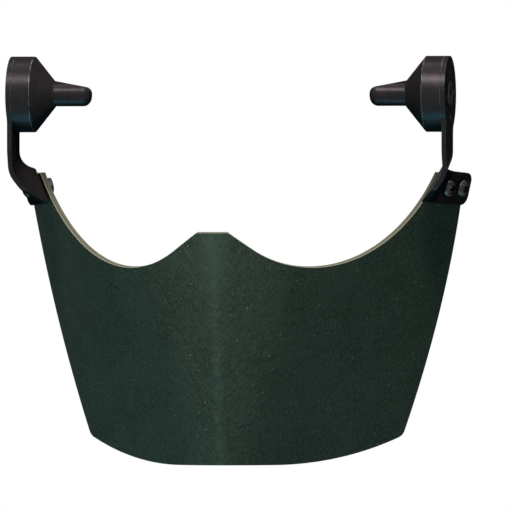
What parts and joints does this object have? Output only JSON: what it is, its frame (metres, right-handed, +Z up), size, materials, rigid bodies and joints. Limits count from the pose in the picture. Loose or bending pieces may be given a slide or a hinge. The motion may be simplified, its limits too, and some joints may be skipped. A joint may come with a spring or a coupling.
{
  "type": "helmet mandible guard",
  "caption": "Moulded jaw plate that hangs on two folded steel brackets with spring-loaded latch pins, for the side sockets of a helmet.",
  "frame": {"origin": "middle of the line through both latch pins, the axis that the guard turns about on a helmet", "axes": "+X to the wearer's left along the pin axis, +Y to the back of the head, +Z up"},
  "size_m": [0.3012, 0.1443, 0.2689],
  "materials": {
    "green_paint": "dark green satin paint over aramid laminate, with bare khaki cut edges",
    "blackened_steel": "blackened steel with rubbed edges",
    "worn_steel": "plain steel, dull and worn"
  },
  "bodies": {
    "guard": {"jaw_plate": "green_paint", "left_bracket": "blackened_steel", "right_bracket": "blackened_steel", "left_hub_housing": "blackened_steel", "right_hub_housing": "blackened_steel", "left_latch_spring": "worn_steel", "right_latch_spring": "worn_steel", "left_spring_plug": "worn_steel", "right_spring_plug": "worn_steel", "left_hub_screws": "worn_steel", "right_hub_screws": "worn_steel", "left_tab_screws": "worn_steel", "right_tab_screws": "worn_steel", "left_tab_washers": "worn_steel", "right_tab_washers": "worn_steel", "left_nuts": "worn_steel", "right_nuts": "worn_steel"},
    "left_latch": {"left_latch_pin": "blackened_steel"},
    "right_latch": {"right_latch_pin": "blackened_steel"}
  },
  "joints": [
    {"name": "left_latch_slide", "type": "slide", "parent": "guard", "child": "left_latch", "axis": [1, 0, 0], "range_m": [0, 0.009], "stiffness_N_per_m": 820, "springref_m": -0.008, "deforming": ["left_latch_spring"]},
    {"name": "right_latch_slide", "type": "slide", "parent": "guard", "child": "right_latch", "axis": [-1, 0, 0], "range_m": [0, 0.009], "stiffness_N_per_m": 820, "springref_m": -0.008, "deforming": ["right_latch_spring"]}
  ]
}
